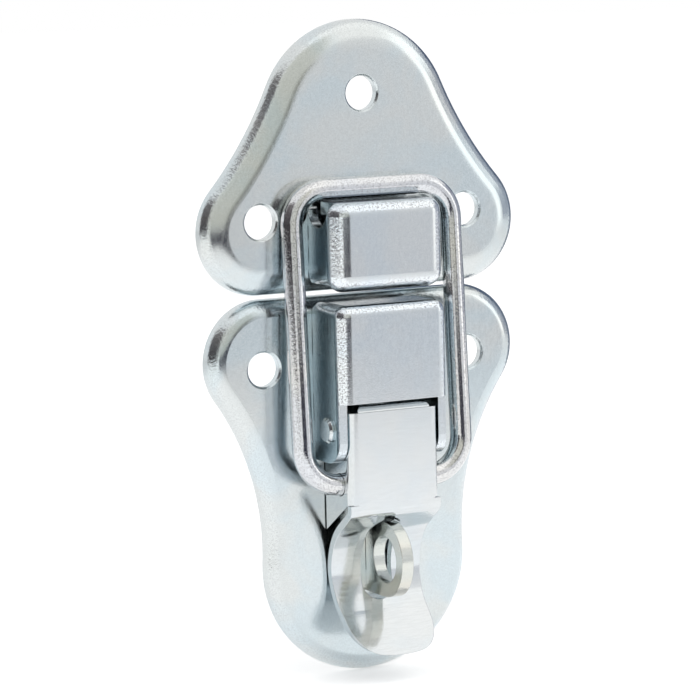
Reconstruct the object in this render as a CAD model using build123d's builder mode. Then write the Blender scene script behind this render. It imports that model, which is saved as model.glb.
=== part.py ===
from build123d import *
import os
from math import asin, atan2, cos, degrees, hypot, radians, sin, sqrt, tan

# Over centre toggle latch pressed from steel sheet, in millimetres, shown closed.
# X is to the right, Z is up and the front faces -Y. Both plates are screwed on at the plane Y = 0.
# The origin is on the middle of the parting line, where the two halves of a case meet.

# ---- Driving dimensions ----------------------------------------------------------------------

# Both plates
plate_sheet = 1.4
plate_height = 2.8
parting_gap = 0.5
screw_hole = 5.2
screw_hole_chamfer = 0.3
screw_spacing = 35.0

# Keeper plate, a rounded triangle above the parting line
keeper_top_z = 41.2
keeper_top_radius = 16.2
keeper_half_width = 27.0
keeper_lobe_radius = 9.7
keeper_flank_radius = 60.0
keeper_rim_height = 1.75
keeper_rim_radius = 2.2
keeper_slope_width = 3.3
keeper_crease_radius = 6.0
keeper_low_holes_z = 11.5
keeper_high_hole_z = 30.1

# Base plate, two lobes above a round tail
base_bottom_z = -58.9
base_tail_radius = 17.3
base_half_width = 26.4
base_lobe_radius = 9.5
base_waist_radius = 40.0
base_rim_radius = 2.6
base_high_holes_z = -10.7
base_low_hole_z = -52.0

# Folded brackets: the catch on the keeper plate and the housing on the base plate
bracket_sheet = 1.5
tenon_play = 0.03
tenon_stake = 0.9
tenon_spread = 0.35

catch_half_width = 9.6
catch_front = 11.3
catch_bottom_z = 0.85
catch_top_z = 14.3
catch_side_bend = 2.8
catch_top_bend = 2.0
catch_low_bend = 2.5
catch_top_lip_rear = 4.2
catch_low_lip_rear = 8.7
catch_wall_bottom_z = 1.9
catch_wall_tip_z = 13.4
catch_wall_low_z = 10.4
catch_wall_tip_front = 9.0
catch_tenon = 2.0
catch_tenon_levels = (6.2, 9.5)

housing_half_width = 9.3
housing_front = 11.9
housing_top_z = -1.05
housing_side_bend = 2.0
housing_top_bend = 1.7
housing_lip_rear = 4.2
housing_panel_bottom_z = -15.8
ear_front = 10.8
ear_bottom_z = -25.0
ear_corner = 3.3
corner_slit = 0.35
housing_tenon = 4.0
housing_tenon_levels = (-7.0, -17.0)

# Pivots of the lever and of the bail, as Y and Z
pivot = (-7.6, -20.0)
bail_pivot = (-7.7, -28.4)
pivot_play = 0.06
bail_play = 0.1

# Lever: a channel that runs down into a scooped tab
lever_sheet = 1.2
lever_half_width = 7.7
lever_front = 11.3
lever_bend = 1.5
lever_top_z = -16.0
lever_notch_z = -17.25
lever_neck = 6.1
lever_curl_radius = 2.2
lever_curl_turn = 72.0
lever_curl_corner = 0.9
lever_wall_bend_end_z = -31.3
lever_wall_bottom_z = -35.9
lever_wall_round = 4.5
fold_z = -32.9
fold_bend = 1.5
shelf_angle = 36.5
scoop_radius = 8.5
scoop_rear = 4.25
lip_angle = 45.0
lip_end_z = -54.5
lip_half_width = 7.0
lip_corner_z = -53.5
lip_corner = 4.5
tab_taper_z = -42.0
slot_half_width = 2.6
slot_top_z = -33.9
slot_bottom_z = -47.2

# Rivet
rivet_shank = 3.0
rivet_head = 3.9
rivet_head_height = 0.7
rivet_head_edge = 0.35

# Wire bail
wire = 3.3
bail_half_width = 13.6
bail_top = (-4.9, 16.2)
bail_top_corner = 5.5
bail_low_corner = 5.8
bail_end_gap = 0.5

# Padlock eye, centres as Y and Z
eye_sheet = 1.9
eye_radius = 5.8
eye_centre = (-8.8, -40.4)
eye_hole = 7.2
eye_hole_centre = (-9.0, -40.4)
eye_tenon = 5.0

plate_face = Plane.XZ.offset(plate_height)
plate_inner_face = Plane.XZ.offset(plate_height - plate_sheet)

os.makedirs("parts", exist_ok=True)


# ---- Shared shapes ---------------------------------------------------------------------------

def hollow_between(upper, upper_radius, lower, lower_radius, hollow_radius):
    """Centre of the arc outside two round corners that touches both, on their right."""
    upper_reach = upper_radius + hollow_radius
    lower_reach = lower_radius + hollow_radius
    across = lower[0] - upper[0]
    down = upper[1] - lower[1]
    apart = hypot(across, down)
    along = (upper_reach**2 - lower_reach**2 + apart**2) / (2 * apart)
    aside = sqrt(upper_reach**2 - along**2)
    x = upper[0] + (along * across + aside * down) / apart
    z = upper[1] + (aside * across - along * down) / apart
    return (x, z)


def bearing(start, end):
    """Direction from one point to another, in degrees from +X."""
    return degrees(atan2(end[1] - start[1], end[0] - start[0]))


def flank(upper, upper_radius, lower, lower_radius, hollow_radius):
    """Right side of a plate's outline: a round corner, a hollow and a lower round corner."""
    hollow = hollow_between(upper, upper_radius, lower, lower_radius, hollow_radius)
    leave = bearing(upper, hollow)
    arrive = bearing(lower, hollow)
    CenterArc(upper, upper_radius, 90, leave - 90)
    CenterArc(hollow, hollow_radius, leave + 180, arrive - leave)
    CenterArc(lower, lower_radius, arrive, -90 - arrive)


def drawn_plate(outline, edge, bends):
    """Flat sheet with its edge drawn down all round. The edge's section at the top is Y and Z points."""
    edge_width = edge[0][1] - edge[-1][1]
    with BuildPart() as plate:
        with BuildSketch(Plane.YZ):
            with BuildLine():
                FilletPolyline(*edge, radius=bends)
                offset(amount=plate_sheet, side=Side.LEFT)
            make_face()
        sweep(path=outline.face().outer_wire())
        with BuildSketch(plate_face) as flat:
            add(outline)
            offset(amount=-edge_width, mode=Mode.REPLACE)
        extrude(flat.sketch, amount=-plate_sheet)
    return plate.part


def screw_holes(plate, places):
    """Round holes through a plate with a small chamfer at the front."""
    with BuildSketch(Plane.XZ) as holes:
        with Locations(*places):
            Circle(screw_hole / 2)
    extrude(holes.sketch, amount=plate_height, mode=Mode.SUBTRACT)
    rims = plate.edges().filter_by(GeomType.CIRCLE).group_by(Axis.Y)[0]
    chamfer(rims.filter_by(lambda rim: abs(rim.radius - screw_hole / 2) < 0.01), screw_hole_chamfer)


def tenon_places(half_width, levels):
    """Where a bracket's tenons go through its plate, as X and Z."""
    wall_middle = half_width - bracket_sheet / 2
    return [(side * wall_middle, level) for side in (-1, 1) for level in levels]


def tenon_slots(places, width, length):
    """Slots in a plate for the tenons of the piece that it carries."""
    with BuildSketch(Plane.XZ) as slots:
        with Locations(*places):
            Rectangle(width + 2 * tenon_play, length + 2 * tenon_play)
    extrude(slots.sketch, amount=plate_height, mode=Mode.SUBTRACT)


def staked_tenons(piece, places, width, length):
    """Tenons that pass through the plate and are spread behind it, so that they hold."""
    with BuildSketch(plate_face) as shanks:
        with Locations(*places):
            Rectangle(width, length)
    extrude(shanks.sketch, amount=-plate_sheet)
    with BuildSketch(plate_inner_face) as stakes:
        with Locations(*places):
            Rectangle(width + 2 * tenon_spread, length + 2 * tenon_spread)
    extrude(stakes.sketch, amount=-tenon_stake)
    chamfer(piece.faces().group_by(Axis.Y)[-1].edges(), tenon_spread)


def bent_block(half_width, front, bottom_z, top_z, side_bend, top_bend, low_bend):
    """Block in front of the plate with rounded front edges, and a sharp low one without a low bend."""
    depth = front - plate_height
    with BuildPart() as block:
        with Locations((0, -front, bottom_z)):
            Box(2 * half_width, depth, top_z - bottom_z, align=(Align.CENTER, Align.MIN, Align.MIN))
        fillet(block.edges().filter_by(Axis.Z).group_by(Axis.Y)[0], side_bend)
        fillet(block.edges().filter_by(Axis.X).group_by(Axis.Y)[0].sort_by(Axis.Z)[-1], top_bend)
        if low_bend:
            fillet(block.edges().filter_by(Axis.X).group_by(Axis.Y)[0].sort_by(Axis.Z)[0], low_bend)
    return block.part


def folded_box(half_width, front, bottom_z, top_z, side_bend, top_bend, low_bend=None):
    """Sheet folded round the front and sides, open at the back, and below if it has no low bend."""
    inner_bottom_z = bottom_z
    inner_low_bend = None
    if low_bend:
        inner_bottom_z = bottom_z + bracket_sheet
        inner_low_bend = low_bend - bracket_sheet
    with BuildPart() as box:
        add(bent_block(half_width, front, bottom_z, top_z, side_bend, top_bend, low_bend))
        add(
            bent_block(
                half_width - bracket_sheet,
                front - bracket_sheet,
                inner_bottom_z,
                top_z - bracket_sheet,
                side_bend - bracket_sheet,
                top_bend - bracket_sheet,
                inner_low_bend,
            ),
            mode=Mode.SUBTRACT,
        )
    return box.part


# ---- Keeper plate ----------------------------------------------------------------------------

keeper_crown = (0, keeper_top_z - keeper_top_radius)
keeper_lobe = (keeper_half_width - keeper_lobe_radius, parting_gap / 2 + keeper_lobe_radius)
catch_tenons = tenon_places(catch_half_width, catch_tenon_levels)
keeper_holes = [
    (-screw_spacing / 2, keeper_low_holes_z),
    (screw_spacing / 2, keeper_low_holes_z),
    (0, keeper_high_hole_z),
]
# The edge's section: a low side, a gentle slope above it and the start of the flat
keeper_edge = [
    (0, keeper_top_z),
    (-keeper_rim_height, keeper_top_z),
    (-plate_height, keeper_top_z - keeper_slope_width),
    (-plate_height, keeper_top_z - keeper_slope_width - plate_sheet),
]

with BuildSketch(Plane.XZ) as keeper_outline:
    with BuildLine():
        flank(keeper_crown, keeper_top_radius, keeper_lobe, keeper_lobe_radius, keeper_flank_radius)
        Line((keeper_lobe[0], parting_gap / 2), (0, parting_gap / 2))
        mirror(about=Plane.YZ)
    make_face()

with BuildPart() as keeper_plate:
    add(drawn_plate(keeper_outline.sketch, keeper_edge, [keeper_rim_radius, keeper_crease_radius]))
    tenon_slots(catch_tenons, bracket_sheet, catch_tenon)
    screw_holes(keeper_plate, keeper_holes)
keeper_plate.part.label = "keeper_plate"
export_step(keeper_plate.part, "parts/keeper_plate.step")

# ---- Base plate ------------------------------------------------------------------------------

base_lobe = (base_half_width - base_lobe_radius, -parting_gap / 2 - base_lobe_radius)
base_tail = (0, base_bottom_z + base_tail_radius)
housing_tenons = tenon_places(housing_half_width, housing_tenon_levels)
base_holes = [
    (-screw_spacing / 2, base_high_holes_z),
    (screw_spacing / 2, base_high_holes_z),
    (0, base_low_hole_z),
]
base_edge = [
    (0, -parting_gap / 2),
    (-plate_height, -parting_gap / 2),
    (-plate_height, -parting_gap / 2 - base_rim_radius - plate_sheet),
]

with BuildSketch(Plane.XZ) as base_outline:
    with BuildLine():
        Line((0, -parting_gap / 2), (base_lobe[0], -parting_gap / 2))
        flank(base_lobe, base_lobe_radius, base_tail, base_tail_radius, base_waist_radius)
        mirror(about=Plane.YZ)
    make_face()

with BuildPart() as base_plate:
    add(drawn_plate(base_outline.sketch, base_edge, base_rim_radius))
    tenon_slots(housing_tenons, bracket_sheet, housing_tenon)
    tenon_slots([(0, eye_centre[1])], eye_sheet, eye_tenon)
    screw_holes(base_plate, base_holes)
base_plate.part.label = "base_plate"
export_step(base_plate.part, "parts/base_plate.step")

# ---- Keeper catch ----------------------------------------------------------------------------

catch_inner = catch_half_width - bracket_sheet
catch_wall_middle = (plate_height + catch_wall_tip_front) / 2

with BuildPart() as keeper_catch:
    add(
        folded_box(
            catch_half_width,
            catch_front,
            catch_bottom_z,
            catch_top_z,
            catch_side_bend,
            catch_top_bend,
            catch_low_bend,
        )
    )
    # The top and bottom lips stop short of the plate
    with BuildSketch(Plane.XZ.offset(catch_top_lip_rear)):
        with Locations((0, catch_top_z)):
            Rectangle(2 * catch_inner, 4 * bracket_sheet)
    extrude(amount=-catch_top_lip_rear, mode=Mode.SUBTRACT)
    with BuildSketch(Plane.XZ.offset(catch_low_lip_rear)):
        with Locations((0, catch_bottom_z)):
            Rectangle(2 * catch_inner, 4 * bracket_sheet)
    extrude(amount=-catch_low_lip_rear, mode=Mode.SUBTRACT)
    # The side walls have a hollow top edge and a level bottom edge
    for side in (-1, 1):
        with BuildSketch(Plane.YZ.offset(side * catch_inner)):
            with BuildLine():
                hollow = ThreePointArc(
                    (-plate_height, catch_wall_tip_z),
                    (-catch_wall_middle, catch_wall_low_z),
                    (-catch_wall_tip_front, catch_wall_tip_z),
                )
                Polyline(
                    hollow @ 1,
                    (-catch_wall_tip_front, catch_top_z),
                    (-plate_height, catch_top_z),
                    hollow @ 0,
                )
            make_face()
            with Locations((0, catch_wall_bottom_z)):
                Rectangle(catch_low_lip_rear, 2 * bracket_sheet, align=(Align.MAX, Align.MAX))
        extrude(amount=side * bracket_sheet, mode=Mode.SUBTRACT)
    staked_tenons(keeper_catch, catch_tenons, bracket_sheet, catch_tenon)
keeper_catch.part.label = "keeper_catch"
export_step(keeper_catch.part, "parts/keeper_catch.step")

# ---- Lever housing ---------------------------------------------------------------------------

housing_inner = housing_half_width - bracket_sheet
lip_slit = housing_front - housing_side_bend / 2 - housing_lip_rear

with BuildPart() as lever_housing:
    add(
        folded_box(
            housing_half_width,
            housing_front,
            ear_bottom_z,
            housing_top_z,
            housing_side_bend,
            housing_top_bend,
        )
    )
    # The top lip stops short of the plate, and a slit parts it from each side wall
    with BuildSketch(Plane.XZ.offset(housing_lip_rear)):
        with Locations((0, housing_top_z)):
            Rectangle(2 * housing_inner, 4 * bracket_sheet)
    extrude(amount=-housing_lip_rear, mode=Mode.SUBTRACT)
    with BuildSketch(Plane.XZ.offset(housing_lip_rear)):
        with GridLocations(2 * housing_inner - corner_slit, 0, 2, 1):
            with Locations((0, housing_top_z)):
                Rectangle(corner_slit, 4 * bracket_sheet)
    extrude(amount=lip_slit, mode=Mode.SUBTRACT)
    # Below the front panel only the two ears of the side walls go on
    with BuildSketch(Plane.XZ):
        with Locations((0, housing_panel_bottom_z)):
            Rectangle(2 * housing_inner, -ear_bottom_z, align=(Align.CENTER, Align.MAX))
    extrude(amount=housing_front, mode=Mode.SUBTRACT)
    with BuildSketch(Plane.XZ.offset(ear_front)):
        with Locations((0, housing_panel_bottom_z)):
            Rectangle(2 * housing_half_width, -ear_bottom_z, align=(Align.CENTER, Align.MAX))
    extrude(amount=housing_front, mode=Mode.SUBTRACT)
    low_edges = lever_housing.edges().filter_by(Axis.X).group_by(Axis.Z)[0]
    fillet(low_edges.group_by(Axis.Y)[0], ear_corner)
    # Holes for the rivet
    with BuildSketch(Plane.YZ):
        with Locations(pivot):
            Circle(rivet_shank / 2)
    extrude(amount=housing_half_width, both=True, mode=Mode.SUBTRACT)
    staked_tenons(lever_housing, housing_tenons, bracket_sheet, housing_tenon)
lever_housing.part.label = "lever_housing"
export_step(lever_housing.part, "parts/lever_housing.step")

# ---- Pivot rivet -----------------------------------------------------------------------------

with BuildPart() as pivot_rivet:
    with BuildSketch(Plane.YZ):
        with Locations(pivot):
            Circle(rivet_shank / 2)
    extrude(amount=housing_half_width, both=True)
    for side in (-1, 1):
        with BuildSketch(Plane.YZ.offset(side * housing_half_width)):
            with Locations(pivot):
                Circle(rivet_head / 2)
        extrude(amount=side * rivet_head_height)
    end_faces = pivot_rivet.faces().sort_by(Axis.X)
    chamfer(end_faces[0].edges() + end_faces[-1].edges(), rivet_head_edge)
pivot_rivet.part.label = "pivot_rivet"
export_step(pivot_rivet.part, "parts/pivot_rivet.step")

# ---- Lever -----------------------------------------------------------------------------------

# Side view of the strip, as Y and Z on its front face: a curl, the front panel, a fold, a shelf that
# slopes back, a round scoop and a lip that slopes out. The scoop's corner is where shelf and lip cross.
curl_centre = (-lever_front + lever_curl_radius, lever_top_z - lever_curl_radius)
fold = (-lever_front, fold_z)
half_corner = radians((shelf_angle + lip_angle) / 2)
corner_lean = radians((lip_angle - shelf_angle) / 2)
scoop_y = scoop_radius * (cos(corner_lean) / sin(half_corner) - 1) - scoop_rear
scoop = (scoop_y, fold_z - (scoop_y + lever_front) * tan(radians(shelf_angle)))
lip_end = (scoop_y - (scoop[1] - lip_end_z) / tan(radians(lip_angle)), lip_end_z)

with BuildPart() as lever_strip:
    with BuildSketch(Plane.YZ):
        with BuildLine():
            CenterArc(curl_centre, lever_curl_radius, 180 - lever_curl_turn, lever_curl_turn)
            FilletPolyline(
                (-lever_front, curl_centre[1]), fold, scoop, lip_end, radius=[fold_bend, scoop_radius]
            )
            offset(amount=lever_sheet, side=Side.LEFT)
        make_face()
    extrude(amount=lever_half_width, both=True)
    # Its outline from the front: a neck between the side bends, then the tab with a rounded end
    with BuildSketch(Plane.XZ) as tab_outline:
        with BuildLine():
            tab_side = Polyline(
                (0, lever_top_z),
                (lever_neck - lever_curl_corner, lever_top_z),
                (lever_neck, lever_top_z - lever_curl_corner),
                (lever_neck, lever_wall_bend_end_z),
                (lever_half_width, lever_wall_bend_end_z),
                (lever_half_width, tab_taper_z),
                (lip_half_width, lip_corner_z),
            )
            ThreePointArc((lip_half_width, lip_corner_z), (0, lip_end_z), (-lip_half_width, lip_corner_z))
            mirror(tab_side, about=Plane.YZ)
        make_face()
        fillet(tab_outline.vertices().group_by(Axis.Y)[0], lip_corner)
    extrude(amount=2 * lever_front, mode=Mode.INTERSECT)
    with BuildSketch(Plane.XZ):
        with Locations((0, (slot_top_z + slot_bottom_z) / 2)):
            SlotOverall(slot_top_z - slot_bottom_z, 2 * slot_half_width, rotation=90)
    extrude(amount=2 * lever_front, mode=Mode.SUBTRACT)

with BuildPart() as lever:
    # Front panel with the two side walls bent back from it
    with BuildSketch(Plane.XY.offset(lever_wall_bottom_z)):
        with BuildLine():
            FilletPolyline(
                (-lever_half_width, 0),
                (-lever_half_width, -lever_front),
                (lever_half_width, -lever_front),
                (lever_half_width, 0),
                radius=lever_bend,
            )
            offset(amount=lever_sheet, side=Side.LEFT)
        make_face()
    extrude(amount=lever_notch_z - lever_wall_bottom_z)
    # Side walls seen from the side: round above the pivot, cut away along the shelf below
    wall_rear = pivot[0] + lever_wall_round
    round_end = degrees(asin((lever_notch_z - pivot[1]) / lever_wall_round))
    with BuildSketch(Plane.YZ):
        with BuildLine():
            wall_round = CenterArc(pivot, lever_wall_round, 0, round_end)
            Polyline(
                wall_round @ 1,
                (-lever_front, lever_notch_z),
                (-lever_front, lever_wall_bend_end_z),
                (-lever_front + lever_sheet, lever_wall_bend_end_z),
                (wall_rear, lever_wall_bottom_z),
                wall_round @ 0,
            )
        make_face()
    extrude(amount=lever_half_width, both=True, mode=Mode.INTERSECT)
    add(lever_strip)
    with BuildSketch(Plane.YZ):
        with Locations(pivot):
            Circle(rivet_shank / 2 + pivot_play)
        with Locations(bail_pivot):
            Circle(wire / 2 + bail_play)
    extrude(amount=lever_half_width, both=True, mode=Mode.SUBTRACT)
lever.part.label = "lever"
export_step(lever.part, "parts/lever.step")

# ---- Wire bail -------------------------------------------------------------------------------

# The wire lies in the plane through both bars, so its centre line is drawn in that plane
bail_rise = hypot(bail_top[0] - bail_pivot[0], bail_top[1] - bail_pivot[1])
bail_plane = Plane(
    origin=(0, bail_pivot[0], bail_pivot[1]),
    x_dir=(1, 0, 0),
    z_dir=(0, bail_pivot[1] - bail_top[1], bail_top[0] - bail_pivot[0]),
)

with BuildPart() as wire_bail:
    with BuildLine(bail_plane):
        loop = FilletPolyline(
            (bail_end_gap / 2, 0),
            (bail_half_width, 0),
            (bail_half_width, bail_rise),
            (-bail_half_width, bail_rise),
            (-bail_half_width, 0),
            (-bail_end_gap / 2, 0),
            radius=[bail_low_corner, bail_top_corner, bail_top_corner, bail_low_corner],
        )
    with BuildSketch(Plane(origin=loop @ 0, z_dir=loop % 0)):
        Circle(wire / 2)
    sweep()
wire_bail.part.label = "wire_bail"
export_step(wire_bail.part, "parts/wire_bail.step")

# ---- Padlock eye -----------------------------------------------------------------------------

with BuildPart() as padlock_eye:
    with BuildSketch(Plane.YZ):
        with Locations(eye_centre):
            Circle(eye_radius)
            Rectangle(-plate_height - eye_centre[0], 2 * eye_radius, align=(Align.MIN, Align.CENTER))
        with Locations(eye_hole_centre):
            Circle(eye_hole / 2, mode=Mode.SUBTRACT)
    extrude(amount=eye_sheet / 2, both=True)
    staked_tenons(padlock_eye, [(0, eye_centre[1])], eye_sheet, eye_tenon)
padlock_eye.part.label = "padlock_eye"
export_step(padlock_eye.part, "parts/padlock_eye.step")
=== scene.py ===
import math

import bpy
from mathutils import Matrix, Vector


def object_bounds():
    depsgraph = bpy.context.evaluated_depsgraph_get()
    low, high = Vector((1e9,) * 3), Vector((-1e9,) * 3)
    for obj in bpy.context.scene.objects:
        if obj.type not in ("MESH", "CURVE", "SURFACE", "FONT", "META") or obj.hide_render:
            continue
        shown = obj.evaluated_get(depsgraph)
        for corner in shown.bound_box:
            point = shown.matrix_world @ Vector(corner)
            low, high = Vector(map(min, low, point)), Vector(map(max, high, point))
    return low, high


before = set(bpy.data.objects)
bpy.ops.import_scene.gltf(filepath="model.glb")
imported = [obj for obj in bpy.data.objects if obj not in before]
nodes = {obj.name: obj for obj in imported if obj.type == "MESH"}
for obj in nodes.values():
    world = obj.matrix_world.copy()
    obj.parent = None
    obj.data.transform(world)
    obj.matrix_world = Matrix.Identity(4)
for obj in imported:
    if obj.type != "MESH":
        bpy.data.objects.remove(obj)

cad_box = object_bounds()
scene = bpy.context.scene
white = (1.0, 1.0, 1.0)

# ---- Node helpers ----------------------------------------------------------------------------

mix_factor, mix_a, mix_b, mix_result = 0, 6, 7, 2  # a Mix node's sockets for colours
bevel_samples = 6
evenly = (1.0, 1.0, 1.0)
# The walls that this range picks out get a painted shade in zinc()
wall_range = (0.90, 0.985)  # how squarely a side wall faces left or right, as a cosine


class Graph:
    """Short forms for building one material's nodes."""

    def __init__(self, name):
        self.material = bpy.data.materials.new(name)
        self.material.use_nodes = True
        self.nodes = self.material.node_tree.nodes
        self.links = self.material.node_tree.links
        self.shader = self.nodes["Principled BSDF"]
        self.output = self.nodes["Material Output"]

    def join(self, source, target):
        """Feed a socket from a number, a colour or another socket."""
        if isinstance(source, (int, float)):
            target.default_value = source
        elif isinstance(source, tuple):
            target.default_value = source + (1,) * (len(target.default_value) - len(source))
        else:
            self.links.new(source, target)

    def math(self, operation, a, b=0.0):
        node = self.nodes.new("ShaderNodeMath")
        node.operation = operation
        self.join(a, node.inputs[0])
        self.join(b, node.inputs[1])
        return node.outputs[0]

    def ramp(self, value, low, high, out_low=0.0, out_high=1.0, smooth=True):
        node = self.nodes.new("ShaderNodeMapRange")
        node.interpolation_type = "SMOOTHSTEP" if smooth else "LINEAR"
        self.join(value, node.inputs["Value"])
        self.join(low, node.inputs["From Min"])
        self.join(high, node.inputs["From Max"])
        self.join(out_low, node.inputs["To Min"])
        self.join(out_high, node.inputs["To Max"])
        return node.outputs["Result"]

    def mix(self, factor, a, b, blend="MIX"):
        node = self.nodes.new("ShaderNodeMix")
        node.data_type = "RGBA"
        node.blend_type = blend
        self.join(factor, node.inputs[mix_factor])
        self.join(a, node.inputs[mix_a])
        self.join(b, node.inputs[mix_b])
        return node.outputs[mix_result]

    def tint(self, factor, colour, by):
        return self.mix(factor, colour, by, "MULTIPLY")

    def grey(self, value):
        node = self.nodes.new("ShaderNodeCombineColor")
        for socket in node.inputs:
            self.join(value, socket)
        return node.outputs[0]

    def coordinate(self, kind):
        return self.nodes.new("ShaderNodeTexCoord").outputs[kind]

    def axes(self, vector):
        node = self.nodes.new("ShaderNodeSeparateXYZ")
        self.links.new(vector, node.inputs[0])
        return node.outputs

    def place(self, stretch=evenly):
        """Place on the piece in millimetres; a pattern is longer along an axis with a smaller stretch."""
        node = self.nodes.new("ShaderNodeMapping")
        node.inputs["Scale"].default_value = tuple(1000 * s for s in stretch)
        self.links.new(self.coordinate("Object"), node.inputs["Vector"])
        return node.outputs[0]

    def noise(self, place, pattern):
        node = self.nodes.new("ShaderNodeTexNoise")
        for socket, value in zip(("Scale", "Detail", "Roughness", "Distortion"), pattern):
            node.inputs[socket].default_value = value
        self.links.new(place, node.inputs["Vector"])
        return node.outputs[0]

    def bends(self, flat, bent):
        """0 on a surface that faces nearly along an axis and 1 on a bend between two such surfaces."""
        x, y, z = (self.math("ABSOLUTE", part) for part in self.axes(self.coordinate("Normal")))
        most = self.math("MAXIMUM", self.math("MAXIMUM", x, y), z)
        return self.ramp(most, flat, bent)

    def sideways(self):
        """Painted shade mask: 1 on a wall that faces left or right, and 0 elsewhere."""
        x = self.axes(self.coordinate("Normal"))[0]
        return self.ramp(self.math("ABSOLUTE", x), *wall_range)

    def bump(self, height, distance, before):
        node = self.nodes.new("ShaderNodeBump")
        node.inputs["Distance"].default_value = distance
        self.links.new(height, node.inputs["Height"])
        self.links.new(before, node.inputs["Normal"])
        return node.outputs[0]

    def bevel(self, radius):
        node = self.nodes.new("ShaderNodeBevel")
        node.samples = bevel_samples
        node.inputs["Radius"].default_value = radius
        return node.outputs[0]


# ---- Zinc plating ----------------------------------------------------------------------------

# Patterns: how many to the millimetre, detail, roughness and distortion
clouds = (0.09, 3.0, 0.5, 0.4)
brushing = (3.0, 4.0, 0.6, 0.0)
specks = (5.5, 2.0, 0.7, 0.0)
dark_dots = (3.8, 2.0, 0.7, 0.0)
orange_peel = (2.4, 3.0, 0.6, 0.0)

# The part of each pattern's values over which it comes in
cloud_range = (0.38, 0.62)
dot_range = (0.48, 0.64)
grain_range = (0.3, 0.7)

bright_speck = 0.6  # a bright speck's contrast against a dark one's
dot_colour = (0.10, 0.09, 0.11)
smoother, rougher = 0.02, 0.04  # how far the brushing takes the roughness down and up


def zinc(
    name, cool, warm, rough, brush, streak, speck, dots, grain, peel, edge, bend,
    bend_sheen=1.0, wall=white,
):
    """Bright zinc on pressed steel: clouds, brushing and fine specks, with peel and dark dots on bends.

    cool, warm: the reflectances that the clouds run between
    rough: roughness
    brush, streak: stretch of the brushing and how much it darkens
    speck, dots: contrast of the specks and of the dark dots
    grain, peel, edge: depth of the specks and of the peel, and the rounding of edges, in metres
    bend: how squarely a surface faces an axis where the peel begins and where it is full, as cosines
    bend_sheen: how much brighter bends are painted, a painted sheen for the bright reflections they catch
    wall: tint of the walls that face left or right, a painted shade for the reflections between parts
    """
    g = Graph(name)
    place = g.place()
    lines = g.noise(g.place(brush), brushing)
    fine = g.noise(place, specks)
    bent = g.bends(*bend)

    colour = g.mix(g.ramp(g.noise(place, clouds), *cloud_range), cool, warm)
    speckled = g.ramp(fine, *grain_range, 1.0 - speck, 1.0 + bright_speck * speck)
    streaked = g.ramp(lines, *grain_range, 1.0 - streak, 1.0)
    colour = g.tint(1.0, colour, g.grey(g.math("MULTIPLY", speckled, streaked)))
    # Painted shade: the walls that face left or right are darkened and tinted, for the reflections
    # between parts
    colour = g.tint(g.sideways(), colour, wall)
    # Painted sheen: bends are made brighter, for the bright reflections they catch
    colour = g.tint(bent, colour, (bend_sheen, bend_sheen, bend_sheen))
    spots = g.math("MULTIPLY", g.ramp(g.noise(place, dark_dots), *dot_range, 0.0, dots), bent)
    g.join(g.mix(spots, colour, dot_colour), g.shader.inputs["Base Color"])

    g.join(1.0, g.shader.inputs["Metallic"])
    g.join(
        g.ramp(lines, *grain_range, rough - smoother, rough + rougher),
        g.shader.inputs["Roughness"],
    )
    normal = g.bump(fine, grain, g.bevel(edge))
    skin = g.math("MULTIPLY", g.noise(place, orange_peel), bent)
    g.join(g.bump(skin, peel, normal), g.shader.inputs["Normal"])
    return g.material


# Brushing along the height and along the width
down = (1.0, 1.0, 0.25)
across = (0.12, 1.0, 1.0)

# Bends that begin to show far from an axis or close to it, and a skin that is all bend, as on a wire
wide_bend = (0.96, 0.86)
tight_bend = (0.985, 0.90)
all_bend = (1.2, 1.05)

finishes = {
    "plate_zinc": dict(
        cool=(0.60, 0.67, 0.70), warm=(0.65, 0.68, 0.68), rough=0.15, brush=down,
        streak=0.03, speck=0.07, dots=0.12, grain=6e-6, peel=5e-5, edge=1.5e-4,
        # A slight painted sheen on the bends
        bend=wide_bend, bend_sheen=1.06,
    ),
    "bracket_zinc": dict(
        cool=(0.58, 0.63, 0.67), warm=(0.61, 0.64, 0.66), rough=0.15, brush=down,
        streak=0.03, speck=0.07, dots=0.50, grain=8e-6, peel=3.5e-5, edge=1.5e-4,
        # A teal painted shade on the walls that face left or right, and a strong painted sheen on the
        # bends
        bend=tight_bend, bend_sheen=1.34, wall=(0.76, 0.86, 0.88),
    ),
    "lever_zinc": dict(
        cool=(0.67, 0.71, 0.735), warm=(0.70, 0.725, 0.735), rough=0.11, brush=across,
        streak=0.06, speck=0.03, dots=0.0, grain=2e-6, peel=5e-6, edge=1.2e-4,
        bend=wide_bend,
    ),
    "wire_zinc": dict(
        cool=(0.71, 0.73, 0.76), warm=(0.77, 0.77, 0.76), rough=0.07, brush=down,
        streak=0.10, speck=0.08, dots=0.30, grain=3e-6, peel=1.6e-5, edge=1e-4,
        bend=all_bend,
    ),
    "rivet_zinc": dict(
        cool=(0.70, 0.75, 0.77), warm=(0.74, 0.76, 0.75), rough=0.13, brush=across,
        streak=0.04, speck=0.05, dots=0.2, grain=6e-6, peel=3e-5, edge=1e-4,
        bend=wide_bend,
    ),
    "eye_zinc": dict(
        cool=(0.66, 0.69, 0.66), warm=(0.73, 0.72, 0.66), rough=0.15, brush=across,
        streak=0.05, speck=0.05, dots=0.0, grain=8e-6, peel=3e-5, edge=1.8e-4,
        bend=wide_bend,
    ),
}
materials = {name: zinc(name, **finish) for name, finish in finishes.items()}
wears = {
    "keeper_plate": "plate_zinc",
    "base_plate": "plate_zinc",
    "keeper_catch": "bracket_zinc",
    "lever_housing": "bracket_zinc",
    "lever": "lever_zinc",
    "wire_bail": "wire_zinc",
    "pivot_rivet": "rivet_zinc",
    "padlock_eye": "eye_zinc",
}
for piece, finish in wears.items():
    for slot in nodes[piece].material_slots:
        slot.material = materials[finish]

# ---- Stage -----------------------------------------------------------------------------------

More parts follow.
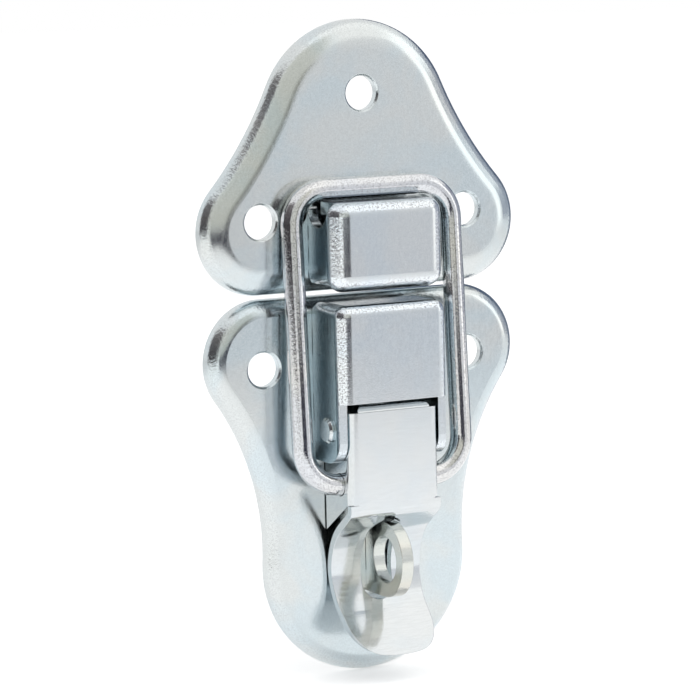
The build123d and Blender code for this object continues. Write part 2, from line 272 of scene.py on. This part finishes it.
scene.view_settings.view_transform = "Standard"

floor_drop = 0.0001
floor_z = cad_box[0][2] - floor_drop
floor_size = 6.0
floor_colour = (0.95, 0.95, 0.95)
floor_fade = (0.10, 0.30)  # distances between which the floor's glow goes from near to far
floor_glow_near, floor_glow_far = 0.36, 0.12
world_light, world_seen = 0.75, 1.0


def panel(name, width, height, middle, towards, material):
    """A flat rectangle that faces a point."""
    mesh = bpy.data.meshes.new(name)
    x, y = width / 2, height / 2
    mesh.from_pydata([(-x, -y, 0), (x, -y, 0), (x, y, 0), (-x, y, 0)], [], [(0, 1, 2, 3)])
    item = bpy.data.objects.new(name, mesh)
    scene.collection.objects.link(item)
    item.location = middle
    item.rotation_euler = (Vector(towards) - Vector(middle)).to_track_quat("Z", "Y").to_euler()
    item.data.materials.append(material)
    return item


def seen_rays(tree):
    """1 for camera, glossy and transmission rays, which see the white surroundings, and 0 for others."""
    path = tree.nodes.new("ShaderNodeLightPath")
    found = path.outputs["Is Camera Ray"]
    for kind in ("Is Glossy Ray", "Is Transmission Ray"):
        node = tree.nodes.new("ShaderNodeMath")
        node.operation = "MAXIMUM"
        tree.links.new(found, node.inputs[0])
        tree.links.new(path.outputs[kind], node.inputs[1])
        found = node.outputs[0]
    return found


def floor_material():
    """Matt white with a glow that only seen rays meet, and that fades outwards for all but the camera."""
    g = Graph("floor_white")
    g.join(floor_colour, g.shader.inputs["Base Color"])
    g.join(1.0, g.shader.inputs["Roughness"])
    g.join(0.0, g.shader.inputs["Specular IOR Level"])
    g.join(white, g.shader.inputs["Emission Color"])
    reach = g.nodes.new("ShaderNodeVectorMath")
    reach.operation = "LENGTH"
    g.links.new(g.coordinate("Object"), reach.inputs[0])
    faded = g.ramp(reach.outputs["Value"], *floor_fade, floor_glow_near, floor_glow_far)
    camera_ray = g.nodes.new("ShaderNodeLightPath").outputs["Is Camera Ray"]
    glow = g.ramp(camera_ray, 0.0, 1.0, faded, floor_glow_near, smooth=False)
    seen = seen_rays(g.material.node_tree)
    g.join(g.math("MULTIPLY", seen, glow), g.shader.inputs["Emission Strength"])
    return g.material


panel("floor", floor_size, floor_size, (0, 0, floor_z), (0, 0, 1), floor_material())

world = bpy.data.worlds.new("studio")
scene.world = world
world.use_nodes = True
tree = world.node_tree
background = tree.nodes["Background"]
level = tree.nodes.new("ShaderNodeMapRange")
tree.links.new(seen_rays(tree), level.inputs["Value"])
level.inputs["To Min"].default_value = world_light
level.inputs["To Max"].default_value = world_seen
tree.links.new(level.outputs["Result"], background.inputs["Strength"])
background.inputs["Color"].default_value = (1, 1, 1, 1)

# ---- Camera ----------------------------------------------------------------------------------

# Degrees about the origin, then millimetres, with the focal length in the image's pixels
yaw, pitch, roll = math.radians(27.68), math.radians(7.38), math.radians(1.226)
distance, shift_x, shift_z = 503.7, -1.279, -9.225
focal, image_width = 3295.9, 700
sensor_width = 36.0

right = Vector((math.cos(yaw), -math.sin(yaw), 0))
up = Vector((math.sin(yaw) * math.sin(pitch), math.cos(yaw) * math.sin(pitch), math.cos(pitch)))
back = Vector((-math.sin(yaw) * math.cos(pitch), -math.cos(yaw) * math.cos(pitch), math.sin(pitch)))
turned_right = right * math.cos(roll) - up * math.sin(roll)
turned_up = up * math.cos(roll) + right * math.sin(roll)
basis = Matrix((turned_right, turned_up, back)).transposed()
stand = right * shift_x + up * shift_z + back * distance

camera_data = bpy.data.cameras.new("camera")
camera_data.sensor_width = sensor_width
camera_data.lens = focal / image_width * sensor_width
camera_data.clip_start = 0.01
camera_data.clip_end = 20
camera = bpy.data.objects.new("camera", camera_data)
scene.collection.objects.link(camera)
camera.matrix_world = Matrix.Translation(stand / 1000) @ basis.to_4x4()
scene.camera = camera

# ---- Studio ----------------------------------------------------------------------------------


def direction(azimuth, elevation):
    """Unit vector from the object; azimuth 0 is in front of it and grows to its right."""
    a, e = math.radians(azimuth), math.radians(elevation)
    return Vector((math.sin(a) * math.cos(e), -math.cos(a) * math.cos(e), math.sin(e)))


def softbox(name, azimuth, elevation, away, width, height, radiance):
    """Area lamp of this many times white, which reflections don't show: the cards stand for it there."""
    data = bpy.data.lights.new(name, "AREA")
    data.shape = "RECTANGLE"
    data.size = width
    data.size_y = height
    data.energy = radiance * math.pi * width * height
    item = bpy.data.objects.new(name, data)
    scene.collection.objects.link(item)
    item.location = direction(azimuth, elevation) * away
    item.rotation_euler = (-direction(azimuth, elevation)).to_track_quat("-Z", "Y").to_euler()
    item.visible_glossy = False


softbox("key", azimuth=42, elevation=46, away=0.9, width=0.8, height=0.6, radiance=1.2)
softbox("fill", azimuth=-50, elevation=66, away=0.9, width=0.4, height=0.4, radiance=1.0)


def reflected(name, width, height, middle, towards, low, high=None):
    """Panel that only reflections see, with a glow that runs up it from one colour to another."""
    g = Graph(name)
    upwards = g.axes(g.coordinate("Generated"))[1]
    glow = g.nodes.new("ShaderNodeEmission")
    g.join(g.mix(upwards, low, high or low), glow.inputs["Color"])
    g.links.new(glow.outputs[0], g.output.inputs["Surface"])
    item = panel(name, width, height, middle, towards, g.material)
    item.visible_camera = False
    item.visible_diffuse = False
    item.visible_shadow = False


def card(name, azimuths, heights, away, low, high=None):
    """Upright studio card between two azimuths and two heights."""
    width = 2 * away * math.tan(math.radians(azimuths[1] - azimuths[0]) / 2)
    centre = direction((azimuths[0] + azimuths[1]) / 2, 0) * away
    centre.z = (heights[0] + heights[1]) / 2
    reflected(name, width, heights[1] - heights[0], centre, (0, 0, centre.z), low, high)


# In front: the pale card that the flats show, left of it a low dark band, and over the band's right end a
# grey strip
card("card_flats", (19, 44), (floor_z, 0.16), 0.30, (0.82, 0.83, 0.86), (1.0, 1.0, 1.0))
card("card_band", (-22, 18), (floor_z, -0.004), 0.31, (0.03, 0.03, 0.05), (0.10, 0.10, 0.12))
card("card_edge", (9, 18), (-0.004, 0.08), 0.31, (0.24, 0.24, 0.22), (0.45, 0.45, 0.40))

# To the left: the pale wall that slopes turn to, and the dim end of the room that rims turn to
card("card_slope", (-40, 16), (0.0, 0.30), 0.34, (0.68, 0.68, 0.62), (0.82, 0.82, 0.77))
card("card_left", (-112, -41), (-0.028, 0.46), 0.45, (0.05, 0.045, 0.05), (0.26, 0.24, 0.24))

# To the right: a window, the wall beside it and the dark behind
card("card_window", (46, 60), (-0.03, 0.22), 0.32, (1.7, 1.68, 1.63))
card("card_wall", (61, 98), (-0.03, 0.22), 0.40, (0.48, 0.50, 0.57))
card("card_right", (97, 150), (floor_z, 0.12), 0.17, (0.24, 0.28, 0.34), (0.06, 0.09, 0.17))

# A bright table top below on the left, just over the floor, and a bright sheet above on the right
table_x, table_y, table_lift = -0.51, -0.35, 0.001
reflected(
    "card_table", width=0.78, height=0.90, middle=(table_x, table_y, floor_z + table_lift),
    towards=(table_x, table_y, 1), low=(1.2, 1.2, 1.18),
)
reflected(
    "card_overhead", width=0.9, height=0.8, middle=direction(azimuth=42, elevation=50) * 0.8,
    towards=(0, 0, 0), low=(1.25, 1.24, 1.22),
)
